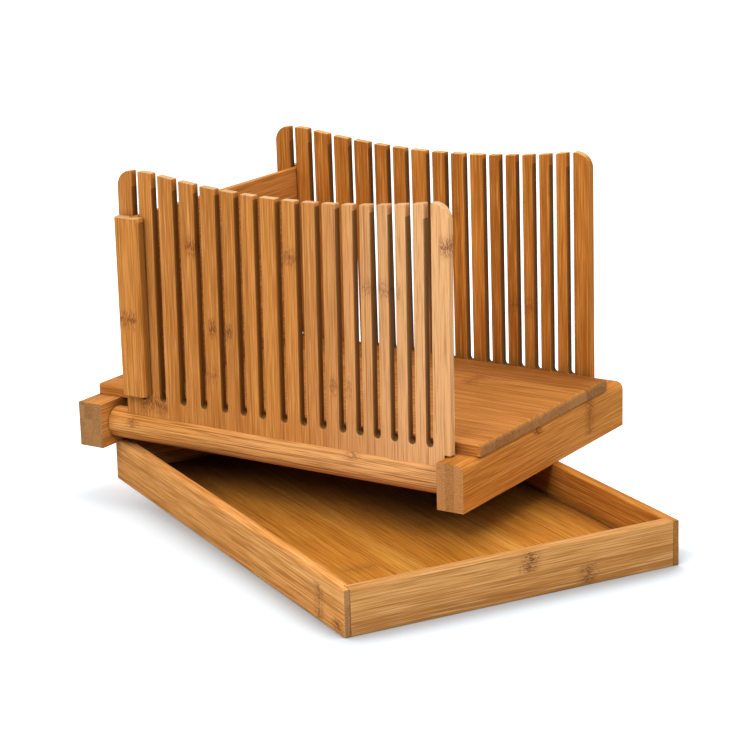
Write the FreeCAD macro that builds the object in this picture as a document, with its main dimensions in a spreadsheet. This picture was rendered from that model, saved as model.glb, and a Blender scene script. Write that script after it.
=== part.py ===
import FreeCAD, Part
import math
import os
import re

import Sketcher

# Bread slicer guide: two slotted guides stand in round pivot bars between two
# rails, a bread deck lies on the rails, a stop board drops into the first slots,
# and the whole guide rests turned on the rim of a crumb tray.
# Row frame: origin at the centre of the footprint, on the surface the tray
# stands on; X along the guide, away from the stop board; Y from the front guide
# to the back guide; Z up. Millimetres.

SIZES = {
    # Guide, as a whole. guide_x and guide_y place its left front lower corner.
    "guide_length": 250.0,
    "guide_width": 176.4,
    "guide_x": -174.4,
    "guide_y": -32.9,
    "rest_gap": 0.1,
    # Rails and bread deck.
    "rail_thick": 15.8,
    "rail_height": 25.4,
    "rail_round": 4.2,
    "rail_ease": 0.8,
    "deck_thick": 6.1,
    "deck_inset": 17.9,
    "deck_edge_round": 1.5,
    "deck_end_round": 2.4,
    "dowel_radius": 3.0,
    "dowel_rise": 4.0,
    "dowel_sink": 12.0,
    "dowel_spacing": 55.0,
    # Pivot bars and their steel pins.
    "bar_radius": 8.8,
    "bar_inset": 14.0,
    "bar_height": 12.7,
    "bar_gap": 0.4,
    "groove_floor": 15.7,
    "pin_radius": 2.5,
    "pin_play": 0.05,
    "pin_in_bar": 12.0,
    "pin_in_rail": 9.0,
    "pin_end_gap": 0.5,
    # Guides: slotted panels.
    "guide_lean": 0.7,
    "panel_left": 27.4,
    "panel_right": 237.2,
    "panel_front": 9.1,
    "panel_thick": 5.0,
    "panel_notch_gap": 0.6,
    "panel_low": 150.4,
    "panel_low_x": 137.5,
    "panel_arc_radius": 585.0,
    "panel_top": 157.4,
    "panel_corner": 9.0,
    # Slots, measured from the guide's left end.
    "slot_floor": 29.5,
    "slot_width": 4.1,
    "stop_slot_x": 39.25,
    "knife_slot_x": 52.55,
    "pitch_thick": 14.05,
    "pitch_medium": 12.5,
    "pitch_thin": 10.7,
    # Stop board and its cleats.
    "stop_thick": 3.7,
    "stop_top": 133.0,
    "stop_gap": 0.3,
    "cleat_middle": 37.35,
    "cleat_width": 16.7,
    "cleat_depth": 6.3,
    "cleat_floor": 32.4,
    "cleat_chamfer": 2.1,
    "cleat_housing": 3.0,
    # Crumb tray; tray_width runs along its own X, tray_length along its own Y.
    "tray_x": 4.2,
    "tray_turn": 60.6,
    "tray_width": 189.4,
    "tray_length": 284.0,
    "tray_height": 24.2,
    "tray_board": 6.3,
    "tray_lap": 3.3,
    "tray_ease": 0.8,
    "floor_under": 2.7,
    "floor_tongue": 2.0,
    "floor_top": 6.3,
    "floor_reach": 2.5,
    "floor_groove": 2.8,
    "floor_margin": 1.6,
}

doc = FreeCAD.newDocument("BreadSlicerGuide")
sheet = doc.addObject("Spreadsheet::Sheet", "Sizes")
for row, (alias, size) in enumerate(SIZES.items(), start=1):
    sheet.set(f"A{row}", alias.replace("_", " "))
    sheet.set(f"B{row}", str(size))
    sheet.setAlias(f"B{row}", alias)
doc.recompute()

parts = []


# ---------------------------------------------------------------- helpers

def sized(text):
    """An expression in which every size is read from the sheet."""
    return re.sub(r"[a-z]\w*", lambda word: word.group().join(("Sizes.", ""))
                  if word.group() in SIZES else word.group(), text)


def number(text):
    """What an expression is worth now, to start a sketch near its solution."""
    return float(sheet.evalExpression(sized(text)))


def plane_of(body, role):
    return next(item for item in body.Origin.OriginFeatures if item.Role == role)


def new_body(name, x, y, z, turn="0", turn_axis=(0, 0, 1)):
    """A sub-part whose own origin stands at x, y, z, turned about an axis in degrees."""
    body = doc.addObject("PartDesign::Body", name)
    body.Label = name
    body.Placement.Rotation = FreeCAD.Rotation(FreeCAD.Vector(*turn_axis), 1)
    for axis, text in (("x", x), ("y", y), ("z", z)):
        body.setExpression(f"Placement.Base.{axis}", sized(text))
    body.setExpression("Placement.Rotation.Angle", sized(turn))
    parts.append(body)
    return body


def guide_body(name):
    """A sub-part measured from the guide's left front lower corner."""
    return new_body(name, "guide_x", "guide_y", "tray_height + rest_gap")


def swung_body(name, pivot_y, inward):
    """A sub-part of a swinging guide, measured from its pivot axis, leaning a little inward."""
    return new_body(name, "guide_x", f"guide_y + {pivot_y}", "tray_height + rest_gap + bar_height",
                    "guide_lean", (-inward, 0, 0))


def tray_body(name):
    """A sub-part measured from the middle of the tray, along the tray's own axes."""
    return new_body(name, "tray_x", "0", "0", "tray_turn")


def new_sketch(body, name, role, offset="0"):
    """A sketch on one of the body's own planes, moved along its normal."""
    sketch = body.newObject("Sketcher::SketchObject", f"{body.Name}_{name}")
    sketch.AttachmentSupport = (plane_of(body, role), [""])
    sketch.MapMode = "FlatFace"
    sketch.setExpression("AttachmentOffset.Base.z", sized(offset))
    return sketch


def bind(sketch, kind, where, text):
    """A dimension of the sketch that follows the sheet."""
    index = sketch.addConstraint(Sketcher.Constraint(kind, *where, number(text)))
    sketch.setExpression(f"Constraints[{index}]", sized(text))


def add_outline(sketch, corners):
    """A closed straight-sided outline through corners given as expressions."""
    points = [FreeCAD.Vector(number(x), number(y), 0) for x, y in corners]
    first = sketch.GeometryCount
    count = len(points)
    for index in range(count):
        sketch.addGeometry(Part.LineSegment(points[index], points[(index + 1) % count]), False)
    for index in range(count):
        after = first + (index + 1) % count
        sketch.addConstraint(Sketcher.Constraint("Coincident", first + index, 2, after, 1))
    for index, (x, y) in enumerate(corners):
        bind(sketch, "DistanceX", (-1, 1, first + index, 1), x)
        bind(sketch, "DistanceY", (-1, 1, first + index, 1), y)


def add_box_outline(sketch, left, right, low, high):
    add_outline(sketch, [(left, low), (right, low), (right, high), (left, high)])


def add_circle(sketch, x, y, radius):
    centre = FreeCAD.Vector(number(x), number(y), 0)
    circle = sketch.addGeometry(Part.Circle(centre, FreeCAD.Vector(0, 0, 1), number(radius)), False)
    bind(sketch, "DistanceX", (-1, 1, circle, 3), x)
    bind(sketch, "DistanceY", (-1, 1, circle, 3), y)
    bind(sketch, "Radius", (circle,), radius)


def add_slot(sketch, x, width):
    """A slot open at the top, with a half-round floor at slot_floor."""
    left = f"{x} - {width} / 2"
    right = f"{x} + {width} / 2"
    spring = f"slot_floor + {width} / 2 - bar_height"
    top = "panel_top - bar_height"
    centre = FreeCAD.Vector(number(x), number(spring), 0)
    circle = Part.Circle(centre, FreeCAD.Vector(0, 0, 1), number(width) / 2)
    corners = {
        "left_top": FreeCAD.Vector(number(left), number(top), 0),
        "left_low": FreeCAD.Vector(number(left), number(spring), 0),
        "right_low": FreeCAD.Vector(number(right), number(spring), 0),
        "right_top": FreeCAD.Vector(number(right), number(top), 0),
    }
    down = sketch.addGeometry(Part.LineSegment(corners["left_top"], corners["left_low"]), False)
    floor = sketch.addGeometry(Part.ArcOfCircle(circle, math.pi, 2 * math.pi), False)
    up = sketch.addGeometry(Part.LineSegment(corners["right_low"], corners["right_top"]), False)
    across = sketch.addGeometry(Part.LineSegment(corners["right_top"], corners["left_top"]), False)
    for one, two in (((down, 2), (floor, 1)), ((floor, 2), (up, 1)),
                     ((up, 2), (across, 1)), ((across, 2), (down, 1))):
        sketch.addConstraint(Sketcher.Constraint("Coincident", *one, *two))
    bind(sketch, "DistanceX", (-1, 1, floor, 3), x)
    bind(sketch, "DistanceY", (-1, 1, floor, 3), spring)
    bind(sketch, "Radius", (floor,), f"{width} / 2")
    bind(sketch, "DistanceY", (-1, 1, down, 1), top)
    sketch.addConstraint(Sketcher.Constraint("Horizontal", floor, 1, floor, 3))
    sketch.addConstraint(Sketcher.Constraint("Horizontal", floor, 2, floor, 3))
    sketch.addConstraint(Sketcher.Constraint("Horizontal", across))
    sketch.addConstraint(Sketcher.Constraint("Vertical", down))
    sketch.addConstraint(Sketcher.Constraint("Vertical", up))


def pad(body, sketch, length, back=False):
    feature = body.newObject("PartDesign::Pad", f"{sketch.Name}_pad")
    feature.Profile = sketch
    feature.setExpression("Length", sized(length))
    feature.Reversed = back
    doc.recompute()
    return feature


def pocket(body, sketch, depth=None, back=False):
    """Cut the sketch away: right through, both ways, when no depth is given."""
    before = body.Shape.Volume
    feature = body.newObject("PartDesign::Pocket", f"{sketch.Name}_cut")
    feature.Profile = sketch
    if depth is None:
        feature.Type = "ThroughAll"
        feature.SideType = "Symmetric"
    else:
        feature.setExpression("Length", sized(depth))
        feature.Reversed = back
    doc.recompute()
    if body.Shape.Volume >= before:
        raise RuntimeError(f"{feature.Name} cuts nothing")
    return feature


def repeat(body, feature, direction, pitch, steps):
    """Repeat a cut along a sketch axis: steps more copies, one pitch apart."""
    before = body.Shape.Volume
    pattern = body.newObject("PartDesign::LinearPattern", f"{feature.Name}_row")
    pattern.Originals = [feature]
    pattern.Direction = direction
    pattern.setExpression("Length", sized(f"{pitch} * {steps}"))
    pattern.Occurrences = steps + 1
    body.Tip = pattern
    doc.recompute()
    if body.Shape.Volume >= before:
        raise RuntimeError(f"{pattern.Name} cuts nothing")


def edges_where(body, test):
    """Names of the tip's straight edges whose two ends pass the test."""
    names = []
    for index, edge in enumerate(body.Tip.Shape.Edges, start=1):
        ends = [vertex.Point for vertex in edge.Vertexes]
        if len(ends) == 2 and isinstance(edge.Curve, (Part.Line, Part.LineSegment)):
            if all(test(point) for point in ends):
                names.append(f"Edge{index}")
    return names


def round_edges(body, radius, test):
    base = body.Tip
    names = edges_where(body, test)
    feature = body.newObject("PartDesign::Fillet", f"{base.Name}_round")
    feature.Base = (base, names)
    feature.setExpression("Radius", sized(radius))
    doc.recompute()
    return feature


def near(value, text):
    return abs(value - number(text)) < 0.01


# ------------------------------------------------------------ rails and deck

def make_rail(name, left, outer_x, inner_x, rounds):
    """One rail: blind pin holes in its inner face, dowel holes in its top."""
    body = guide_body(name)
    blank = new_sketch(body, "blank", "YZ_Plane", left)
    add_box_outline(blank, "0", "guide_width", "0", "rail_height")
    pad(body, blank, "rail_thick")
    for edge_x, radius in rounds:
        round_edges(body, radius, lambda point: near(point.x, edge_x) and near(point.z, "rail_height"))

    pin_holes = new_sketch(body, "pin_holes", "YZ_Plane", inner_x)
    for y in ("bar_inset", "guide_width - bar_inset"):
        add_circle(pin_holes, y, "bar_height", "pin_radius + pin_play")
    inner_is_right = number(inner_x) > number(outer_x)
    pocket(body, pin_holes, "pin_in_rail - bar_gap + pin_end_gap", back=not inner_is_right)

    dowel_holes = new_sketch(body, "dowel_holes", "XY_Plane", "rail_height")
    for step in (-1, 0, 1):
        add_circle(dowel_holes, f"{left} + rail_thick / 2",
                   f"guide_width / 2 + {step} * dowel_spacing", "dowel_radius")
    pocket(body, dowel_holes, "dowel_sink")


def make_deck():
    """The board the bread lies on, flush with the rails' outer faces."""
    body = guide_body("deck_board")
    blank = new_sketch(body, "blank", "XY_Plane", "rail_height")
    add_box_outline(blank, "0", "guide_length", "deck_inset", "guide_width - deck_inset")
    pad(body, blank, "deck_thick")
    top = "rail_height + deck_thick"
    for edge_y in ("deck_inset", "guide_width - deck_inset"):
        round_edges(body, "deck_edge_round", lambda point: near(point.z, top) and near(point.y, edge_y))
    for edge_x, radius in (("0", "deck_edge_round"), ("guide_length", "deck_end_round")):
        round_edges(body, radius, lambda point: near(point.z, top) and near(point.x, edge_x))
    dowel_holes = new_sketch(body, "dowel_holes", "XY_Plane", "rail_height")
    for end in ("rail_thick / 2", "guide_length - rail_thick / 2"):
        for step in (-1, 0, 1):
            add_circle(dowel_holes, end, f"guide_width / 2 + {step} * dowel_spacing", "dowel_radius")
    pocket(body, dowel_holes, "dowel_rise", back=True)


def make_dowels(name, x):
    """Three blind dowels that join the deck to one rail, as one group."""
    group = doc.addObject("Part::Compound", name)
    group.Label = name
    dowels = []
    for step in (-1, 0, 1):
        dowel = doc.addObject("Part::Cylinder", f"{name}_{step + 2}")
        dowel.setExpression("Radius", sized("dowel_radius"))
        dowel.setExpression("Height", sized("dowel_rise + dowel_sink"))
        dowel.setExpression("Placement.Base.x", sized(f"guide_x + {x}"))
        dowel.setExpression("Placement.Base.y",
                            sized(f"guide_y + guide_width / 2 + {step} * dowel_spacing"))
        dowel.setExpression("Placement.Base.z",
                            sized("tray_height + rest_gap + rail_height - dowel_sink"))
        dowels.append(dowel)
    group.Links = dowels
    parts.append(group)


# ------------------------------------------- guides: bars, pins and panels

def make_bar(name, pivot_y, inward):
    """A round bar between the rails, grooved for the panel, bored for its pins."""
    left = "rail_thick + bar_gap"
    right = "guide_length - rail_thick - bar_gap"
    body = swung_body(name, pivot_y, inward)
    section = new_sketch(body, "section", "YZ_Plane", left)
    add_circle(section, "0", "0", "bar_radius")
    pad(body, section, f"{right} - ({left})")

    outer = f"{inward} * (panel_front - bar_inset)"
    groove = new_sketch(body, "groove", "YZ_Plane", "panel_left")
    add_box_outline(groove, outer, f"{outer} + {inward} * panel_thick",
                    "groove_floor - bar_height", "rail_height - bar_height")
    pocket(body, groove, f"{right} - panel_left", back=True)

    for end, place, back in (("left", left, True), ("right", right, False)):
        hole = new_sketch(body, f"{end}_hole", "YZ_Plane", place)
        add_circle(hole, "0", "0", "pin_radius")
        pocket(body, hole, "pin_in_bar", back=back)


def make_pin(name, start, axis_y):
    """A steel pin along X, pressed into the bar and turning in the rail."""
    pin = doc.addObject("Part::Cylinder", name)
    pin.Label = name
    pin.Placement.Rotation = FreeCAD.Rotation(FreeCAD.Vector(0, 1, 0), 90)
    pin.setExpression("Radius", sized("pin_radius"))
    pin.setExpression("Height", sized("pin_in_bar + pin_in_rail"))
    pin.setExpression("Placement.Base.x", sized(f"guide_x + {start}"))
    pin.setExpression("Placement.Base.y", sized(f"guide_y + {axis_y}"))
    pin.setExpression("Placement.Base.z", sized("tray_height + rest_gap + bar_height"))
    parts.append(pin)


def make_panel(name, pivot_y, inward):
    """A slotted guide: its foot fills the bar's groove, its right end steps over the rail."""
    body = swung_body(name, pivot_y, inward)
    outer = f"{inward} * (panel_front - bar_inset)"
    foot = "groove_floor - bar_height"
    foot_right = "guide_length - rail_thick - panel_notch_gap"
    shoulder = "rail_height + panel_notch_gap - bar_height"
    top = "panel_top - bar_height"
    blank = new_sketch(body, "blank", "XZ_Plane", f"-({outer})")
    add_outline(blank, [
        ("panel_left", foot),
        (foot_right, foot),
        (foot_right, shoulder),
        ("panel_right", shoulder),
        ("panel_right", top),
        ("panel_left", top),
    ])
    pad(body, blank, "panel_thick", back=inward > 0)
    for side in ("panel_left", "panel_right"):
        round_edges(body, "panel_corner", lambda point: near(point.x, side) and near(point.z, top))

    hollow = new_sketch(body, "hollow", "XZ_Plane")
    add_circle(hollow, "panel_low_x", "panel_low + panel_arc_radius - bar_height", "panel_arc_radius")
    pocket(body, hollow)
    stop_slot = new_sketch(body, "stop_slot", "XZ_Plane")
    add_slot(stop_slot, "stop_slot_x", "slot_width")
    pocket(body, stop_slot)

    # Knife slots, in rows of one pitch each; each row follows the last slot of the one before.
    place = "knife_slot_x - pitch_thick"
    rows = (
        ("thick", "pitch_thick", "pitch_thick", 3),
        ("middle", "pitch_medium", "pitch_medium", 1),
        ("inner", "pitch_thick", "pitch_medium", 3),
        ("thin", "pitch_thin", "pitch_thin", 4),
    )
    for row_name, lead, pitch, steps in rows:
        place = f"{place} + {lead}"
        seed = new_sketch(body, f"{row_name}_slot", "XZ_Plane")
        add_slot(seed, f"({place})", "slot_width")
        cut = pocket(body, seed)
        repeat(body, cut, (seed, ["H_Axis"]), pitch, steps)
        place = f"{place} + {steps} * {pitch}"


# ------------------------------------------------------------- stop board

def make_stop_board():
    body = guide_body("stop_board")
    left = "stop_slot_x - stop_thick / 2"
    face = new_sketch(body, "face", "YZ_Plane", left)
    inset = "panel_front - stop_gap - cleat_housing"
    add_box_outline(face, inset, f"guide_width - ({inset})",
                    "rail_height + deck_thick + stop_gap", "stop_top")
    pad(body, face, "stop_thick")


def make_cleat(name, face_y, outward):
    """A cleat outside a guide: chamfered outside, housed for the board's end."""
    body = guide_body(name)

    def across(fraction, inset="0"):
        return f"cleat_middle + {fraction} * (cleat_width / 2 - {inset})"

    def housing(side):
        return f"stop_slot_x + {side} * stop_thick / 2"

    def out(depth):
        return f"{face_y} + ({outward}) * ({depth})"

    plan = new_sketch(body, "plan", "XY_Plane", "cleat_floor")
    add_outline(plan, [
        (across(-1), out("0")),
        (across(-1), out("cleat_depth - cleat_chamfer")),
        (across(-1, "cleat_chamfer"), out("cleat_depth")),
        (across(1, "cleat_chamfer"), out("cleat_depth")),
        (across(1), out("cleat_depth - cleat_chamfer")),
        (across(1), out("0")),
        (housing(1), out("0")),
        (housing(1), out("cleat_housing")),
        (housing(-1), out("cleat_housing")),
        (housing(-1), out("0")),
    ])
    pad(body, plan, "stop_top - cleat_floor")


# ------------------------------------------------------------- crumb tray

def make_side_board(name, side):
    """A long tray board: rabbeted at both ends for the short boards, grooved for the floor."""
    body = tray_body(name)

    def in_from_face(depth):
        return f"{side} * (tray_width / 2 - {depth})"

    inner = in_from_face("tray_board")
    lap = in_from_face("tray_lap")
    outer = in_from_face("0")
    plan = new_sketch(body, "plan", "XY_Plane")
    add_outline(plan, [
        (outer, "-tray_length / 2"),
        (lap, "-tray_length / 2"),
        (lap, "-tray_length / 2 + tray_board"),
        (inner, "-tray_length / 2 + tray_board"),
        (inner, "tray_length / 2 - tray_board"),
        (lap, "tray_length / 2 - tray_board"),
        (lap, "tray_length / 2"),
        (outer, "tray_length / 2"),
    ])
    pad(body, plan, "tray_height")
    round_edges(body, "tray_ease",
                lambda point: near(point.x, outer) and near(point.z, "tray_height"))
    groove = new_sketch(body, "groove", "XZ_Plane")
    add_box_outline(groove, f"{inner} + {side} * floor_groove", inner,
                    "floor_under", "floor_under + floor_tongue")
    pocket(body, groove)


def make_end_board(name, side):
    """A short tray board between the laps of the long ones, grooved for the floor."""
    body = tray_body(name)
    outer = f"{side} * tray_length / 2"
    inner = f"{side} * (tray_length / 2 - tray_board)"
    section = new_sketch(body, "section", "YZ_Plane", "-tray_width / 2 + tray_lap")
    add_box_outline(section, inner, outer, "0", "tray_height")
    pad(body, section, "tray_width - 2 * tray_lap")
    round_edges(body, "tray_ease",
                lambda point: near(point.y, outer) and near(point.z, "tray_height"))
    groove = new_sketch(body, "groove", "YZ_Plane")
    add_box_outline(groove, inner, f"{inner} + {side} * floor_groove",
                    "floor_under", "floor_under + floor_tongue")
    pocket(body, groove)


def make_tray_floor():
    """The floor: a tongue all round in the boards' grooves, and a raised field."""
    body = tray_body("tray_floor")
    layers = (("tongue", "-floor_reach", "floor_tongue"),
              ("field", "floor_margin", "floor_top - floor_under"))
    for layer, inset, height in layers:
        reach_x = f"(tray_width / 2 - tray_board - ({inset}))"
        reach_y = f"(tray_length / 2 - tray_board - ({inset}))"
        plan = new_sketch(body, layer, "XY_Plane", "floor_under")
        add_box_outline(plan, f"-{reach_x}", reach_x, f"-{reach_y}", reach_y)
        pad(body, plan, height)


# ---------------------------------------------------------------- assembly

right_rail_left = "guide_length - rail_thick"
make_rail("left_rail", "0", "0", "rail_thick",
          [("0", "rail_ease"), ("rail_thick", "rail_ease")])
make_rail("right_rail", right_rail_left, "guide_length", right_rail_left,
          [("guide_length", "rail_round"), (right_rail_left, "rail_ease")])
make_deck()
make_dowels("left_deck_dowels", "rail_thick / 2")
make_dowels("right_deck_dowels", "guide_length - rail_thick / 2")

for end, pivot_y, inward in (("front", "bar_inset", 1), ("back", "guide_width - bar_inset", -1)):
    make_bar(f"{end}_bar", pivot_y, inward)
    make_pin(f"{end}_left_pin", "rail_thick + bar_gap - pin_in_rail", pivot_y)
    make_pin(f"{end}_right_pin", "guide_length - rail_thick - bar_gap - pin_in_bar", pivot_y)
    make_panel(f"{end}_panel", pivot_y, inward)

make_stop_board()
make_cleat("front_cleat", "panel_front - stop_gap", "-1")
make_cleat("back_cleat", "guide_width - panel_front + stop_gap", "1")

make_side_board("tray_left_board", "-1")
make_side_board("tray_right_board", "1")
make_end_board("tray_front_board", "-1")
make_end_board("tray_back_board", "1")
make_tray_floor()
doc.recompute()

for item in doc.Objects:
    if "Invalid" in item.State or "Error" in item.State:
        raise RuntimeError(f"{item.Name} failed: {item.State}")
os.makedirs("parts", exist_ok=True)
for part in parts:
    if part.Shape.isNull() or not part.Shape.isValid():
        raise RuntimeError(f"{part.Label} has no valid shape")
    part.Shape.exportStep(f"parts/{part.Label}.step")
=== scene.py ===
"""Looks of the bread slicer guide: bamboo boards with strips, fibres, knots and end grain."""
import math

import bmesh
import bpy
from mathutils import Matrix, Vector


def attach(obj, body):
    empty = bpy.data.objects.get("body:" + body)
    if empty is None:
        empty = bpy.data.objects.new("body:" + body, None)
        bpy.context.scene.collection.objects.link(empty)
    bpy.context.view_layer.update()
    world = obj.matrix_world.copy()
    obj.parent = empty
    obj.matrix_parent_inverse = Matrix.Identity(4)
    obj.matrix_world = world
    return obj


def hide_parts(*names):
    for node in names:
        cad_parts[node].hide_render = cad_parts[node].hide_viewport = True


MM = 0.001

# Camera: place in millimetres of the frame, turned round the vertical and tipped down.
CAMERA_PLACE = Vector((677.8, -1033.4, 430.1)) * MM
CAMERA_AZIMUTH = math.radians(33.16)
CAMERA_ELEVATION = math.radians(15.83)
CAMERA_ROLL = math.radians(-1.473)
CAMERA_LENS = 116.53

# The crumb tray is turned under the guide.
TRAY_TURN = math.radians(60.6)

# The floor: its colour, the glow that lifts it to white, the reach and range of its painted
# contact shadow, and where full glow paints out its shadow, in metres.
FLOOR_SIZE = 12
FLOOR_TONE = (0.475, 0.515, 0.555, 1)
FLOOR_LIFT = 0.50
FLOOR_REACH = 0.055
FLOOR_OPEN = (0.46, 0.98)
FLOOR_GLOW = (0.97, 0.985, 1.0, 1)
CLEAR_BEHIND = (0.0, 0.12)
CLEAR_BESIDE = (0.065, 0.10)
CLEAR_AWAY = (0.32, 0.50)
BEHIND_SHARE = 0.5

# The sky: its strength at the horizon and overhead.
SKY_TONE = (1.0, 0.98, 0.96, 1)
SKY_LOW = 0.02
SKY_HIGH = 0.40

# The lamps: place and aim in metres, size, power in watts and colour.
LAMPS = {
    "overhead": ((-0.35, 0.55, 1.5), (0, 0, 0), (1.0, 1.0), 17.5, (1.0, 0.99, 0.97)),
    "front": ((0.2, -1.6, 1.35), (0, 0, 0.06), (1.0, 0.8), 22.5, (1.0, 0.99, 0.96)),
    "left": ((-1.1, -1.5, 0.75), (0, 0, 0.06), (0.9, 0.6), 9, (1.0, 0.99, 0.96)),
    "right": ((1.7, -0.6, 1.0), (0, 0, 0.06), (0.9, 0.7), 20, (1.0, 0.99, 0.96)),
}

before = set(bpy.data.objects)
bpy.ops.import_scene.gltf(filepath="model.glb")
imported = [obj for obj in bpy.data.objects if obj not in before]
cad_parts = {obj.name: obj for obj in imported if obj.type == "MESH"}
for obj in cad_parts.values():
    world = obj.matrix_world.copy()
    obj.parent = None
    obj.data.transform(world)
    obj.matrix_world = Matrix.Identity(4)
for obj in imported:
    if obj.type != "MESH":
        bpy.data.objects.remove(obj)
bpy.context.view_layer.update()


def add_camera():
    """Camera at the photograph's viewing angle."""
    forward = Vector((-math.sin(CAMERA_AZIMUTH) * math.cos(CAMERA_ELEVATION),
                      math.cos(CAMERA_AZIMUTH) * math.cos(CAMERA_ELEVATION),
                      -math.sin(CAMERA_ELEVATION)))
    level_right = forward.cross(Vector((0, 0, 1))).normalized()
    level_up = level_right.cross(forward)
    right = level_right * math.cos(CAMERA_ROLL) + level_up * math.sin(CAMERA_ROLL)
    up = level_up * math.cos(CAMERA_ROLL) - level_right * math.sin(CAMERA_ROLL)
    data = bpy.data.cameras.new("camera")
    data.lens = CAMERA_LENS
    data.sensor_width = 36
    data.clip_end = 20
    camera = bpy.data.objects.new("camera", data)
    turn = Matrix((right, up, -forward)).transposed()
    camera.matrix_world = Matrix.Translation(CAMERA_PLACE) @ turn.to_4x4()
    bpy.context.scene.collection.objects.link(camera)
    bpy.context.scene.camera = camera


def add_area_light(name, place, aim, size, power, colour):
    data = bpy.data.lights.new(name, "AREA")
    data.shape = "RECTANGLE"
    data.size, data.size_y = size
    data.energy = power
    data.color = colour
    light = bpy.data.objects.new(name, data)
    light.location = place
    light.rotation_euler = (Vector(aim) - Vector(place)).to_track_quat("-Z", "Y").to_euler()
    bpy.context.scene.collection.objects.link(light)


# ---------------------------------------------------------------- bamboo

class Graph:
    """A short way to write a material's nodes."""

    def __init__(self, name):
        self.material = bpy.data.materials.new(name)
        self.material.use_nodes = True
        self.nodes = self.material.node_tree.nodes
        self.links = self.material.node_tree.links
        self.nodes.clear()

    def feed(self, socket, value):
        if isinstance(value, bpy.types.NodeSocket):
            self.links.new(value, socket)
        else:
            socket.default_value = value

    def math(self, operation, *values):
        node = self.nodes.new("ShaderNodeMath")
        node.operation = operation
        for socket, value in zip(node.inputs, values):
            self.feed(socket, value)
        return node.outputs[0]

    def vector(self, x, y, z):
        node = self.nodes.new("ShaderNodeCombineXYZ")
        for socket, value in zip(node.inputs, (x, y, z)):
            self.feed(socket, value)
        return node.outputs[0]

    def split(self, vector):
        node = self.nodes.new("ShaderNodeSeparateXYZ")
        self.feed(node.inputs[0], vector)
        return node.outputs

    def turned(self, vector, angle):
        node = self.nodes.new("ShaderNodeVectorRotate")
        node.rotation_type = "Z_AXIS"
        self.feed(node.inputs["Vector"], vector)
        node.inputs["Angle"].default_value = angle
        return node.outputs[0]

    def noise(self, vector, detail=2.0, rough=0.5):
        node = self.nodes.new("ShaderNodeTexNoise")
        self.feed(node.inputs["Vector"], vector)
        node.inputs["Scale"].default_value = 1.0
        node.inputs["Detail"].default_value = detail
        node.inputs["Roughness"].default_value = rough
        return node.outputs["Fac"]

    def chance(self, vector):
        node = self.nodes.new("ShaderNodeTexWhiteNoise")
        node.noise_dimensions = "3D"
        self.feed(node.inputs["Vector"], vector)
        return node.outputs["Value"]

    def ramp(self, value, low, high, out_low=0.0, out_high=1.0):
        node = self.nodes.new("ShaderNodeMapRange")
        node.interpolation_type = "SMOOTHSTEP"
        for name, number in (("From Min", low), ("From Max", high),
                             ("To Min", out_low), ("To Max", out_high)):
            node.inputs[name].default_value = number
        self.feed(node.inputs["Value"], value)
        return node.outputs[0]

    def mix(self, share, one, two, blend="MIX"):
        node = self.nodes.new("ShaderNodeMix")
        node.data_type = "RGBA"
        node.blend_type = blend
        node.clamp_factor = True
        self.feed(node.inputs["Factor"], share)
        self.feed(node.inputs["A"], one)
        self.feed(node.inputs["B"], two)
        return node.outputs["Result"]


# Pale colour that paints light onto the wood.
PAINTED_LIGHT_CREAM = (0.92, 0.54, 0.25, 1)
PALE = (0.80, 0.415, 0.135, 1)
WARM = (0.575, 0.222, 0.045, 1)
DEEP = (0.37, 0.123, 0.020, 1)
LINE = (0.23, 0.074, 0.012, 1)
KNOT = (0.16, 0.045, 0.012, 1)
# Saw scorch mixed with painted shade, for slot walls and the cleats' shaded sides.
BURNT_AND_SHADE = (0.130, 0.050, 0.006, 1)
# Painted shade for corners, gaps and faces under other parts.
PAINTED_SHADE = (0.034, 0.011, 0.003, 1)
END_TONES = ((0.42, 0.195, 0.066, 1), (0.21, 0.088, 0.027, 1))
TOP_TONES = ((0.68, 0.43, 0.21, 1), (0.42, 0.22, 0.09, 1))
AXES = {"x": 0, "y": 1, "z": 2}

# Fibre noise: width across the grain and length along it, in mm, and its detail.
STREAKS = (0.85, 62.0, 2.0)
FINE = (0.55, 24.0, 3.0)
MEDIUM = (1.8, 120.0, 2.0)
BROAD = (7.0, 190.0, 1.0)

# The oiled surface.
ROUGH = (0.58, 0.74)
SPECULAR = 0.07
REFRACTION = 1.45
RELIEF = 0.30
RELIEF_DEPTH = 0.0001


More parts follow.
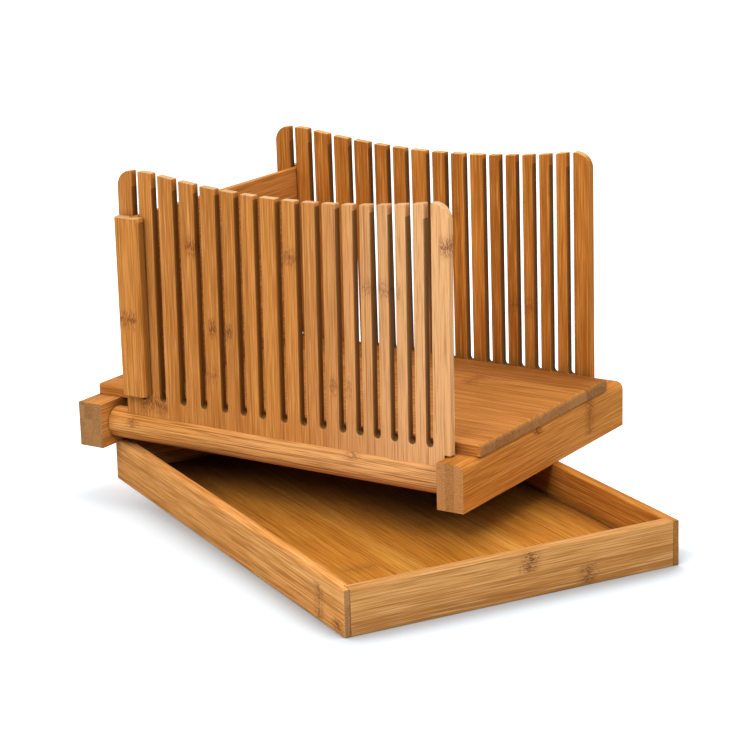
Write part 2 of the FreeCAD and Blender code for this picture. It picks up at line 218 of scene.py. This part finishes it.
class Bamboo:
    """Laminated bamboo: strips with fibres, seams and knots, and dotted end grain.

    along is the grain's axis and across the strips' axis; strips and layers are in mm, and the
    strips start at start; turn is the board's angle round Z. shade darkens the wood, tint
    multiplies its colour, contrast strengthens its lines, and painted_light (low, high, amount)
    paints light on it over a span of X, paler towards high. dark_walls (low, high, top, facing)
    darkens walls with saw scorch and painted shade, ends are the two tones of the end grain,
    and each knot is (place along, place across, width, strength). reach, in metres, and
    painted_shade_strength set how far and how dark the painted shade in corners is."""

    def __init__(self, name, along, across, strip=20.0, layer=8.0, start=0.0, turn=0.0, seed=1.0,
                 shade=0.0, tint=(1, 1, 1), painted_light=None, dark_walls=None, ends=END_TONES, knots=(),
                 reach=0.014, painted_shade_strength=0.45, contrast=1.0):
        self.g = g = Graph(name)
        coords = g.nodes.new("ShaderNodeTexCoord")
        place, facing = coords.outputs["Object"], coords.outputs["Normal"]
        if turn:
            place, facing = g.turned(place, -turn), g.turned(facing, -turn)
        sides, self.normal = g.split(place), g.split(facing)
        rest = ({"x", "y", "z"} - {along, across}).pop()
        self.along, self.across = along, across
        self.x = g.math("MULTIPLY", sides[0], 1000.0)
        self.z = g.math("MULTIPLY", sides[2], 1000.0)
        self.s = g.math("MULTIPLY", sides[AXES[along]], 1000.0)
        self.t = g.math("MULTIPLY", sides[AXES[across]], 1000.0)
        self.d = g.math("MULTIPLY", sides[AXES[rest]], 1000.0)
        self.strip, self.seed = strip, seed
        self.strip_place = g.math("DIVIDE", g.math("SUBTRACT", self.t, start), strip)
        strip_number = g.math("FLOOR", self.strip_place)
        layer_number = g.math("FLOOR", g.math("DIVIDE", self.d, layer))
        self.luck = g.chance(g.vector(strip_number, layer_number, seed))
        self.shift = g.math("MULTIPLY", self.luck, 370.0)

        self.lines = self.fibres(*STREAKS)
        self.fine = self.fibres(*FINE)
        self.medium = self.fibres(*MEDIUM)
        colour = self.long_grain(shade, painted_light, contrast)
        for knot in knots:
            colour = self.knot(colour, *knot)
        colour = self.end_grain(colour, ends)
        if dark_walls:
            colour = self.scorched_and_shaded(colour, *dark_walls)
        colour = g.mix(1.0, colour, (*tint, 1), "MULTIPLY")
        self.finish(colour, reach, painted_shade_strength)
        self.material = g.material

    def fibres(self, width, length, detail):
        """Noise drawn out along the grain, different in each strip."""
        g = self.g
        place = g.vector(g.math("ADD", g.math("DIVIDE", self.s, length), self.shift),
                         g.math("DIVIDE", self.t, width), g.math("DIVIDE", self.d, width))
        return g.noise(place, detail)

    def long_grain(self, shade, painted_light, contrast):
        """Tone of each strip, painted light over a span of X, its dark and pale lines, and the
        seams between strips.
        """
        g = self.g
        broad = self.fibres(*BROAD)
        tone = g.math("MULTIPLY", self.luck, 0.40)
        tone = g.math("ADD", tone, g.math("MULTIPLY", broad, 0.55))
        tone = g.math("ADD", tone, g.math("MULTIPLY", self.medium, 0.26))
        tone = g.math("ADD", tone, shade - 0.05)
        colour = g.mix(g.ramp(tone, 0.0, 0.5), PALE, WARM)
        colour = g.mix(g.ramp(tone, 0.5, 1.0), colour, DEEP)
        # Painted light: the wood turns paler towards the high end of a span of X.
        if painted_light:
            low, high, amount = painted_light
            colour = g.mix(g.ramp(self.x, low, high, 0.0, amount), colour, PAINTED_LIGHT_CREAM)
        colour = g.mix(g.ramp(self.lines, 0.56, 0.70, 0.0, 0.46 * contrast), colour, LINE)
        colour = g.mix(g.ramp(self.lines, 0.30, 0.44, 0.35 * contrast, 0.0), colour, PALE)
        colour = g.mix(g.ramp(self.fine, 0.47, 0.66, 0.0, 0.48 * contrast), colour, LINE)
        colour = g.mix(g.ramp(self.fine, 0.34, 0.46, 0.30, 0.0), colour, PALE)
        in_strip = g.math("FRACT", self.strip_place)
        from_seam = g.math("MINIMUM", in_strip, g.math("SUBTRACT", 1.0, in_strip))
        self.seam = g.ramp(g.math("MULTIPLY", from_seam, self.strip), 0.0, 0.45, 0.55, 0.0)
        return g.mix(self.seam, colour, LINE)

    def knot(self, colour, place_s, place_t, width, strength):
        """A node of the cane: a band of short dark dashes across the strip."""
        g = self.g
        wobble = g.math("MULTIPLY", g.math("SUBTRACT", self.medium, 0.5), 6.0)
        off = g.math("ABSOLUTE", g.math("ADD", g.math("SUBTRACT", self.s, place_s), wobble))
        side = g.math("ABSOLUTE", g.math("SUBTRACT", self.t, place_t))
        inside = g.ramp(side, width / 2 - 1.5, width / 2 + 0.5, 1.0, 0.0)
        dash = g.noise(g.vector(g.math("DIVIDE", self.s, 2.0), g.math("DIVIDE", self.t, 0.7),
                                g.math("DIVIDE", self.d, 0.7)), 2.0, 0.7)
        band = g.math("MULTIPLY", g.ramp(off, 1.5, 8.0, 1.0, 0.0), inside)
        core = g.math("MULTIPLY", g.ramp(off, 0.2, 1.8, 1.0, 0.0), inside)
        mottle = g.math("MULTIPLY", band, g.ramp(dash, 0.42, 0.62, 0.10 * strength, strength))
        colour = g.mix(mottle, colour, KNOT)
        return g.mix(g.math("MULTIPLY", core, 0.45 * strength), colour, KNOT)

    def scorched_and_shaded(self, colour, low, high, top, facing):
        """Darkened walls and floors between two places along X, below top: saw scorch with
        painted shade on the slot walls, painted shade deepest on the slot floors, and painted
        shade on the cleats' sides.
        """
        g = self.g
        wall = g.ramp(g.math("ABSOLUTE", self.normal[1]), facing, facing + 0.2, 1.0, 0.0)
        inner = g.math("MULTIPLY", g.math("GREATER_THAN", self.x, low),
                       g.math("LESS_THAN", self.x, high))
        below = g.math("LESS_THAN", self.z, top)
        share = g.math("MULTIPLY", g.math("MULTIPLY", wall, inner), below)
        # Painted shade: faces that look up or down are darkened most.
        depth = g.ramp(g.math("ABSOLUTE", self.normal[2]), 0.2, 0.6, 0.66, 0.82)
        return g.mix(g.math("MULTIPLY", share, depth), colour, BURNT_AND_SHADE)

    def end_grain(self, colour, ends):
        """Pores and faint rings in two tones, where a face is cut across the grain."""
        g = self.g
        pores = g.noise(g.vector(g.math("DIVIDE", self.s, 30.0), g.math("DIVIDE", self.t, 0.6),
                                 g.math("DIVIDE", self.d, 0.6)), 2.0, 0.6)
        rings = g.noise(g.vector(self.seed, g.math("DIVIDE", self.t, 2.4),
                                 g.math("DIVIDE", self.d, 2.4)), 1.0)
        mark = g.math("ADD", g.math("MULTIPLY", pores, 0.60), g.math("MULTIPLY", rings, 0.10))
        mark = g.math("ADD", mark, g.math("MULTIPLY", self.luck, 0.12))
        end_colour = g.mix(g.ramp(mark, 0.28, 0.58), *ends)
        is_end = g.ramp(g.math("ABSOLUTE", self.normal[AXES[self.along]]), 0.60, 0.85)
        return g.mix(is_end, colour, end_colour)

    def finish(self, colour, reach, painted_shade_strength):
        """Fibre relief, a satin coat and painted shade that darkens corners, gaps and faces
        under other parts.
        """
        g = self.g
        height = g.math("ADD", g.math("MULTIPLY", self.fine, 0.4), self.lines)
        height = g.math("SUBTRACT", height, self.seam)
        bump = g.nodes.new("ShaderNodeBump")
        bump.inputs["Strength"].default_value = RELIEF
        bump.inputs["Distance"].default_value = RELIEF_DEPTH
        g.feed(bump.inputs["Height"], height)
        shader = g.nodes.new("ShaderNodeBsdfPrincipled")
        corner = g.nodes.new("ShaderNodeAmbientOcclusion")
        corner.samples = 6
        corner.inputs["Distance"].default_value = reach
        # Painted shade: the colour darkens where ambient occlusion finds other surfaces close
        # by.
        painted_shade_share = g.ramp(corner.outputs["AO"], 0.10, 0.75, painted_shade_strength, 0.0)
        g.feed(shader.inputs["Base Color"], g.mix(painted_shade_share, colour, PAINTED_SHADE))
        g.feed(shader.inputs["Roughness"], g.ramp(self.lines, 0.2, 0.8, *ROUGH))
        shader.inputs["IOR"].default_value = REFRACTION
        shader.inputs["Specular IOR Level"].default_value = SPECULAR
        g.feed(shader.inputs["Normal"], bump.outputs[0])
        output = g.nodes.new("ShaderNodeOutputMaterial")
        g.feed(output.inputs["Surface"], shader.outputs[0])


def steel(name):
    """Bright turned steel, with faint rings round the pin."""
    g = Graph(name)
    coords = g.nodes.new("ShaderNodeTexCoord")
    x, y, z = g.split(coords.outputs["Object"])
    rings = g.noise(g.vector(g.math("MULTIPLY", x, 9000.0), g.math("MULTIPLY", y, 60.0),
                             g.math("MULTIPLY", z, 60.0)), 3.0)
    shader = g.nodes.new("ShaderNodeBsdfPrincipled")
    shader.inputs["Base Color"].default_value = (0.56, 0.56, 0.58, 1)
    shader.inputs["Metallic"].default_value = 1.0
    g.feed(shader.inputs["Roughness"], g.ramp(rings, 0.2, 0.8, 0.22, 0.42))
    output = g.nodes.new("ShaderNodeOutputMaterial")
    g.feed(output.inputs["Surface"], shader.outputs[0])
    return g.material


def seen_directly(nodes, links):
    """1 for camera, glossy and transmission rays, which see the white studio."""
    path = nodes.new("ShaderNodeLightPath")
    seen = path.outputs["Is Camera Ray"]
    for other in ("Is Glossy Ray", "Is Transmission Ray"):
        larger = nodes.new("ShaderNodeMath")
        larger.operation = "MAXIMUM"
        links.new(seen, larger.inputs[0])
        links.new(path.outputs[other], larger.inputs[1])
        seen = larger.outputs[0]
    return seen


def add_floor():
    """Pale floor that glows white where it is seen: near the object ambient occlusion dims the
    glow, a painted contact shadow over the real soft shadow; behind, beside and far from the
    object full glow paints the shadow out.
    """
    bpy.ops.mesh.primitive_plane_add(size=FLOOR_SIZE, location=(0, 0, 0))
    floor = bpy.context.object
    floor.name = "floor"
    g = Graph("floor_white")
    diffuse = g.nodes.new("ShaderNodeBsdfDiffuse")
    diffuse.inputs["Color"].default_value = FLOOR_TONE
    glow = g.nodes.new("ShaderNodeEmission")
    glow.inputs["Color"].default_value = FLOOR_GLOW
    coords = g.nodes.new("ShaderNodeTexCoord")
    x, y, _ = g.split(coords.outputs["Object"])
    behind = g.math("ADD", g.math("MULTIPLY", x, -math.sin(CAMERA_AZIMUTH)),
                    g.math("MULTIPLY", y, math.cos(CAMERA_AZIMUTH)))
    beside = g.math("ADD", g.math("MULTIPLY", x, math.cos(TRAY_TURN)),
                    g.math("MULTIPLY", y, math.sin(TRAY_TURN)))
    corner = g.math("ADD", beside, g.math("MULTIPLY", behind, BEHIND_SHARE))
    # Painted light: behind, beside and far from the object the glow rises to full white and
    # covers the real shadow.
    clear = g.math("MAXIMUM", g.ramp(behind, *CLEAR_BEHIND), g.ramp(corner, *CLEAR_BESIDE))
    away = g.math("SQRT", g.math("ADD", g.math("MULTIPLY", x, x), g.math("MULTIPLY", y, y)))
    clear = g.math("MAXIMUM", clear, g.ramp(away, *CLEAR_AWAY))
    # Painted contact shadow: the glow is dimmed where ambient occlusion finds the object close
    # by.
    contact = g.nodes.new("ShaderNodeAmbientOcclusion")
    contact.samples = 12
    contact.inputs["Distance"].default_value = FLOOR_REACH
    lift = g.math("MULTIPLY", g.ramp(contact.outputs["AO"], *FLOOR_OPEN), FLOOR_LIFT)
    lift = g.math("MAXIMUM", lift, clear)
    g.feed(glow.inputs["Strength"], g.math("MULTIPLY", seen_directly(g.nodes, g.links), lift))
    both = g.nodes.new("ShaderNodeAddShader")
    output = g.nodes.new("ShaderNodeOutputMaterial")
    g.links.new(diffuse.outputs[0], both.inputs[0])
    g.links.new(glow.outputs[0], both.inputs[1])
    g.links.new(both.outputs[0], output.inputs["Surface"])
    floor.data.materials.append(g.material)


def add_world():
    """Soft sky, brighter overhead than at the horizon, and white where it is seen."""
    world = bpy.data.worlds.new("studio")
    bpy.context.scene.world = world
    world.use_nodes = True
    nodes, links = world.node_tree.nodes, world.node_tree.links
    nodes.clear()
    coords = nodes.new("ShaderNodeTexCoord")
    sides = nodes.new("ShaderNodeSeparateXYZ")
    climb = nodes.new("ShaderNodeMapRange")
    for name, number in (("From Min", 0.0), ("From Max", 1.0),
                         ("To Min", SKY_LOW), ("To Max", SKY_HIGH)):
        climb.inputs[name].default_value = number
    soft = nodes.new("ShaderNodeBackground")
    soft.inputs["Color"].default_value = SKY_TONE
    white = nodes.new("ShaderNodeBackground")
    white.inputs["Color"].default_value = (1, 1, 1, 1)
    mix = nodes.new("ShaderNodeMixShader")
    output = nodes.new("ShaderNodeOutputWorld")
    links.new(coords.outputs["Generated"], sides.inputs[0])
    links.new(sides.outputs["Z"], climb.inputs["Value"])
    links.new(climb.outputs[0], soft.inputs["Strength"])
    links.new(seen_directly(nodes, links), mix.inputs[0])
    links.new(soft.outputs[0], mix.inputs[1])
    links.new(white.outputs[0], mix.inputs[2])
    links.new(mix.outputs[0], output.inputs["Surface"])


# ---------------------------------------------------------------- pieces

EASE = 0.6 * MM
EASE_STEPS = 3
EASE_ANGLE = math.radians(40)
WELD = 1e-6
FLAT_ANGLE = math.radians(1)


def dressed(node, body, material):
    """A copy of a CAD node with eased edges, which stands for the node."""
    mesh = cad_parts[node].data.copy()
    shape = bmesh.new()
    shape.from_mesh(mesh)
    bmesh.ops.remove_doubles(shape, verts=shape.verts, dist=WELD)
    bmesh.ops.dissolve_limit(shape, angle_limit=FLAT_ANGLE, verts=shape.verts,
                             edges=shape.edges)
    shape.to_mesh(mesh)
    shape.free()
    mesh.materials.clear()
    mesh.materials.append(material)
    piece = bpy.data.objects.new(f"{node}_wood", mesh)
    bpy.context.scene.collection.objects.link(piece)
    bevel = piece.modifiers.new("ease", "BEVEL")
    bevel.width = EASE
    bevel.segments = EASE_STEPS
    bevel.limit_method = "ANGLE"
    bevel.angle_limit = EASE_ANGLE
    mesh.shade_smooth()
    normals = piece.modifiers.new("normals", "WEIGHTED_NORMAL")
    normals.weight = 100
    normals.keep_sharp = False
    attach(piece, body)
    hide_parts(node)


add_camera()
add_floor()
add_world()
for lamp, values in LAMPS.items():
    add_area_light(lamp, *values)

LAP_TONES = ((0.33, 0.155, 0.052, 1), (0.165, 0.070, 0.021, 1))
RIGHT_RAIL_TONES = ((0.55, 0.29, 0.12, 1), (0.30, 0.14, 0.055, 1))
TRAY_TINT = (0.98, 1.20, 1.75)
BAR = dict(along="x", across="z")
# Both darken walls with saw scorch and painted shade; on the cleats it is painted shade on their
# sides.
PANEL = dict(along="z", across="x", strip=18.5, layer=50, dark_walls=(-145.0, 60.0, 173.0, 0.6),
             ends=TOP_TONES)
CLEAT = dict(along="z", across="x", strip=24, start=-148, dark_walls=(-132.0, -120.0, 155.0, 0.57),
             ends=TOP_TONES)
LONG_BOARD = dict(along="y", across="z", turn=TRAY_TURN)
SHORT_BOARD = dict(along="x", across="z", strip=14, start=-1.9, turn=TRAY_TURN, tint=TRAY_TINT)

# Each dressed node: its body, its material slot and its wood.
WOODS = {
    "left_rail": ("base", "rail_bamboo", dict(
        along="y", across="x", strip=5.4, start=-176.0, seed=3, shade=0.05,
        tint=(1.0, 1.05, 1.15), knots=((20, -166, 16, 0.5),))),
    "right_rail": ("base", "rail_bamboo", dict(
        along="y", across="z", strip=30, start=22.0, layer=5.4, seed=4, shade=0.02,
        tint=(1.02, 0.98, 0.82), ends=RIGHT_RAIL_TONES,
        knots=((103.9, 39, 20, 0.7), (46, 47.0, 5, 1.0)))),
    "deck_board": ("base", "deck_bamboo", dict(
        along="x", across="y", strip=20, seed=5, shade=0.22,
        knots=((-60, 30, 20, 0.5), (10, 90, 20, 0.5)))),
    "front_bar": ("front_guide", "bar_bamboo", dict(
        BAR, strip=4.4, start=37.7, contrast=1.3, seed=6, shade=-0.04,
        # Painted light: paler towards +X.
        painted_light=(-160.0, 40.0, 0.45), knots=((3.8, 43.0, 5, 0.6), (-142, 40, 6, 0.7)))),
    "back_bar": ("back_guide", "bar_bamboo", dict(
        BAR, strip=5.2, start=33.0, seed=7, knots=((-60, 40, 6, 0.5),))),
    "front_panel": ("front_guide", "panel_bamboo", dict(
        PANEL, start=-6.0, seed=8, shade=0.11, contrast=0.80,
        # Painted light: paler towards +X.
        tint=(1.02, 1.04, 1.12), painted_light=(-45.0, 62.0, 0.64),
        knots=((52, -128, 20, 0.8), (144, -98.2, 9, 0.9), (99.6, -86, 6, 1.0),
               (99.7, -75.5, 6, 1.0), (144.6, -34.3, 9, 0.7), (133.3, 22.4, 24, 0.45),
               (78.1, -8.3, 6, 0.6), (78.3, 1.1, 5, 0.5), (159.7, 60.5, 7, 0.8),
               (74, -87, 9, 0.4)))),
    "back_panel": ("back_guide", "panel_bamboo", dict(
        PANEL, start=-2.0, seed=9, shade=0.26, tint=(1.02, 0.98, 0.80),
        knots=((140, -30, 18, 0.5), (90, 20, 18, 0.5), (60, -90, 18, 0.5)))),
    "stop_board": ("stop", "stop_bamboo", dict(
        along="y", across="z", strip=20, seed=10, shade=0.20, knots=((60, 110, 20, 0.5),))),
    "front_cleat": ("stop", "cleat_bamboo", dict(
        CLEAT, seed=11, shade=0.06, knots=((100.9, -138, 13, 0.75),))),
    "back_cleat": ("stop", "cleat_bamboo", dict(
        CLEAT, seed=12, knots=((80, -136, 13, 0.5),))),
    "tray_left_board": ("tray", "tray_bamboo", dict(
        LONG_BOARD, strip=18, start=-1.6, tint=(1.24, 1.38, 1.68), ends=LAP_TONES,
        contrast=1.15, seed=13, knots=((-119, 10, 20, 0.6), (-139, 4.5, 7, 0.9)))),
    "tray_right_board": ("tray", "tray_bamboo", dict(
        LONG_BOARD, strip=14, start=-1.9, tint=(1.0, 1.0, 0.80), seed=14, shade=0.03,
        knots=((30, 18, 11, 0.6),))),
    "tray_front_board": ("tray", "tray_bamboo", dict(
        SHORT_BOARD, seed=15, shade=0.06, knots=((9.1, 18.4, 11, 1.0), (42.5, 6.0, 11, 0.8)))),
    "tray_back_board": ("tray", "tray_bamboo", dict(
        SHORT_BOARD, seed=16, shade=0.05, knots=((-40, 6, 11, 0.6),))),
    # The tray floor's wide, strong corner darkening is painted shade for the guide's shadow on
    # it.
    "tray_floor": ("tray", "tray_floor_bamboo", dict(
        along="y", across="x", turn=TRAY_TURN, reach=0.075, painted_shade_strength=1.0,
        tint=(0.88, 0.84, 0.48), seed=17, shade=-0.10,
        knots=((-80, -50, 20, 0.4), (40, 30, 20, 0.5)))),
}
for node, (body, slot, look) in WOODS.items():
    dressed(node, body, Bamboo(node, **look).material)
pin_finish = steel("pin_steel")
dowel_finish = Bamboo("dowel_wood", along="z", across="x", strip=12, shade=-0.15).material
# The hidden pins and dowels keep their CAD shape and get only a material.
for node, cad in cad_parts.items():
    if node not in WOODS:
        for holder in cad.material_slots:
            holder.material = pin_finish if node.endswith("pin") else dowel_finish

bpy.context.scene.view_settings.view_transform = "Standard"
